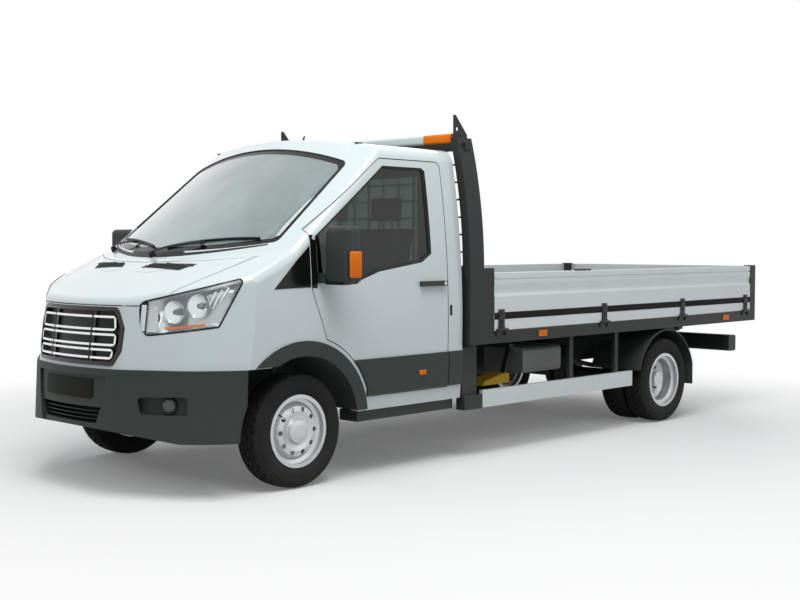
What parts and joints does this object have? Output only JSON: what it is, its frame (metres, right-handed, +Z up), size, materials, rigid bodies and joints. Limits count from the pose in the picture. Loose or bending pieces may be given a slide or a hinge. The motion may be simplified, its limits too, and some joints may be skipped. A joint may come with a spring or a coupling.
{
  "type": "dump truck",
  "caption": "Light tipping dropside truck with a short cab, opening doors and bonnet, steered front wheels, fold-down sides and tailgate, and a telescopic tipping ram.",
  "frame": {"origin": "on the ground, at mid-length and mid-width", "axes": "+X forward, +Y to the left, +Z up"},
  "size_m": [6.4519, 2.51, 2.344],
  "materials": {
    "body_white": "gloss white paint",
    "plastic_dark": "grained dark plastic",
    "glass_dark": "tinted glass",
    "chrome_trim": "polished",
    "lamp_clear": "clear lens",
    "tyre_black": "black rubber",
    "rim_silver": "silver paint",
    "frame_black": "satin black paint",
    "bed_alloy": "pale anodised alloy",
    "amber_lens": "clear amber",
    "red_lens": "clear red",
    "seat_cloth": "woven dark grey",
    "cabin_plastic": "grained dark grey",
    "engine_iron": "bare",
    "chock_yellow": "yellow",
    "tank_grey": "grey paint",
    "ram_steel": "ground steel"
  },
  "bodies": {
    "chassis": {"chassis_rails": "frame_black", "cross_members": "frame_black", "subframe_rails": "frame_black", "front_beam": "frame_black", "rear_axle": "frame_black", "engine": "engine_iron", "driveline": "engine_iron", "tanks": "tank_grey", "cab_roof": "body_white", "cab_rear_panel": "body_white", "cab_side_left": "body_white", "cab_side_right": "body_white", "cab_floor": "body_white", "nose": "body_white", "arch_liners": "plastic_dark", "front_bumper": "plastic_dark", "grille": "chrome_trim", "headlamps": "lamp_clear", "cab_glass": "glass_dark", "body_trim": "plastic_dark", "dashboard": "cabin_plastic", "seats": "seat_cloth", "guard_rails": "bed_alloy", "guard_uprights": "frame_black", "mudguards": "plastic_dark", "underrun": "frame_black", "rear_lamps": "red_lens", "wheel_chock": "chock_yellow"},
    "knuckle_left": {"knuckle_left": "frame_black"},
    "knuckle_right": {"knuckle_right": "frame_black"},
    "wheel_front_left": {"rim_front_left": "rim_silver", "tyre_front_left": "tyre_black"},
    "wheel_front_right": {"rim_front_right": "rim_silver", "tyre_front_right": "tyre_black"},
    "wheels_rear_left": {"rims_rear_left": "rim_silver", "tyres_rear_left": "tyre_black"},
    "wheels_rear_right": {"rims_rear_right": "rim_silver", "tyres_rear_right": "tyre_black"},
    "bonnet": {"bonnet": "body_white"},
    "door_left": {"door_left": "body_white", "door_glass_left": "glass_dark", "door_trim_left": "plastic_dark"},
    "door_right": {"door_right": "body_white", "door_glass_right": "glass_dark", "door_trim_right": "plastic_dark"},
    "bed": {"bed_floor": "bed_alloy", "bed_rails": "frame_black", "bed_frame": "frame_black", "rear_posts": "frame_black", "headboard": "frame_black", "headboard_ears": "frame_black", "amber_lamps": "amber_lens"},
    "dropside_left": {"dropside_left": "bed_alloy"},
    "dropside_right": {"dropside_right": "bed_alloy"},
    "tailgate": {"tailgate": "bed_alloy"},
    "ram_barrel": {"ram_barrel": "frame_black"},
    "ram_stage_outer": {"ram_stage_outer": "ram_steel"},
    "ram_stage_inner": {"ram_stage_inner": "ram_steel"},
    "ram_rod": {"ram_rod": "ram_steel"}
  },
  "joints": [
    {"name": "steer_left", "type": "hinge", "parent": "chassis", "child": "knuckle_left", "pos_m": [2.2195, 0.72, 0.344], "axis": [0, 0, 1], "range_deg": [-35, 35]},
    {"name": "steer_right", "type": "hinge", "parent": "chassis", "child": "knuckle_right", "pos_m": [2.2195, -0.72, 0.344], "axis": [0, 0, 1], "range_deg": [-35, 35]},
    {"name": "roll_front_left", "type": "hinge", "parent": "knuckle_left", "child": "wheel_front_left", "pos_m": [2.2195, 0.87, 0.344], "axis": [0, 1, 0], "continuous": true},
    {"name": "roll_front_right", "type": "hinge", "parent": "knuckle_right", "child": "wheel_front_right", "pos_m": [2.2195, -0.87, 0.344], "axis": [0, 1, 0], "continuous": true},
    {"name": "roll_rear_left", "type": "hinge", "parent": "chassis", "child": "wheels_rear_left", "pos_m": [-1.7345, 0.821, 0.344], "axis": [0, 1, 0], "continuous": true},
    {"name": "roll_rear_right", "type": "hinge", "parent": "chassis", "child": "wheels_rear_right", "pos_m": [-1.7345, -0.821, 0.344], "axis": [0, 1, 0], "continuous": true},
    {"name": "door_left_swing", "type": "hinge", "parent": "chassis", "child": "door_left", "pos_m": [2.1415, 1.012, 1], "axis": [0, 0, -1], "range_deg": [0, 68]},
    {"name": "door_right_swing", "type": "hinge", "parent": "chassis", "child": "door_right", "pos_m": [2.1415, -1.012, 1], "axis": [0, 0, 1], "range_deg": [0, 68]},
    {"name": "bonnet_lift", "type": "hinge", "parent": "chassis", "child": "bonnet", "pos_m": [2.3695, 0, 1.42], "axis": [0, -1, 0], "range_deg": [0, 60]},
    {"name": "bed_tip", "type": "hinge", "parent": "chassis", "child": "bed", "pos_m": [-2.9405, 0, 0.705], "axis": [0, -1, 0], "range_deg": [0, 45]},
    {"name": "ram_swing", "type": "hinge", "parent": "chassis", "child": "ram_barrel", "pos_m": [-1.4405, 0.2, 0.31], "axis": [0, -1, 0], "range_deg": [0, 18.01]},
    {"name": "ram_slide_outer", "type": "slide", "parent": "ram_barrel", "child": "ram_stage_outer", "axis": [0, 0, 1], "range_m": [0, 0.37302]},
    {"name": "ram_slide_inner", "type": "slide", "parent": "ram_stage_outer", "child": "ram_stage_inner", "axis": [0, 0, 1], "range_m": [0, 0.37302]},
    {"name": "ram_slide_rod", "type": "slide", "parent": "ram_stage_inner", "child": "ram_rod", "axis": [0, 0, 1], "range_m": [0, 0.37302]},
    {"name": "dropside_left_fold", "type": "hinge", "parent": "bed", "child": "dropside_left", "pos_m": [-1.3, 1.062, 0.868], "axis": [-1, 0, 0], "range_deg": [0, 175]},
    {"name": "dropside_right_fold", "type": "hinge", "parent": "bed", "child": "dropside_right", "pos_m": [-1.3, -1.062, 0.868], "axis": [1, 0, 0], "range_deg": [0, 175]},
    {"name": "tailgate_fold", "type": "hinge", "parent": "bed", "child": "tailgate", "pos_m": [-3.2255, 0, 0.868], "axis": [0, -1, 0], "range_deg": [0, 175]}
  ],
  "couplings": [
    {"joint": "steer_right", "follows": "steer_left", "ratio": 1},
    {"joint": "ram_swing", "follows": "bed_tip", "ratio": 0.39983},
    {"joint": "ram_slide_outer", "follows": "bed_tip", "m_per_rad": 0.4743},
    {"joint": "ram_slide_inner", "follows": "bed_tip", "m_per_rad": 0.4743},
    {"joint": "ram_slide_rod", "follows": "bed_tip", "m_per_rad": 0.4743}
  ]
}
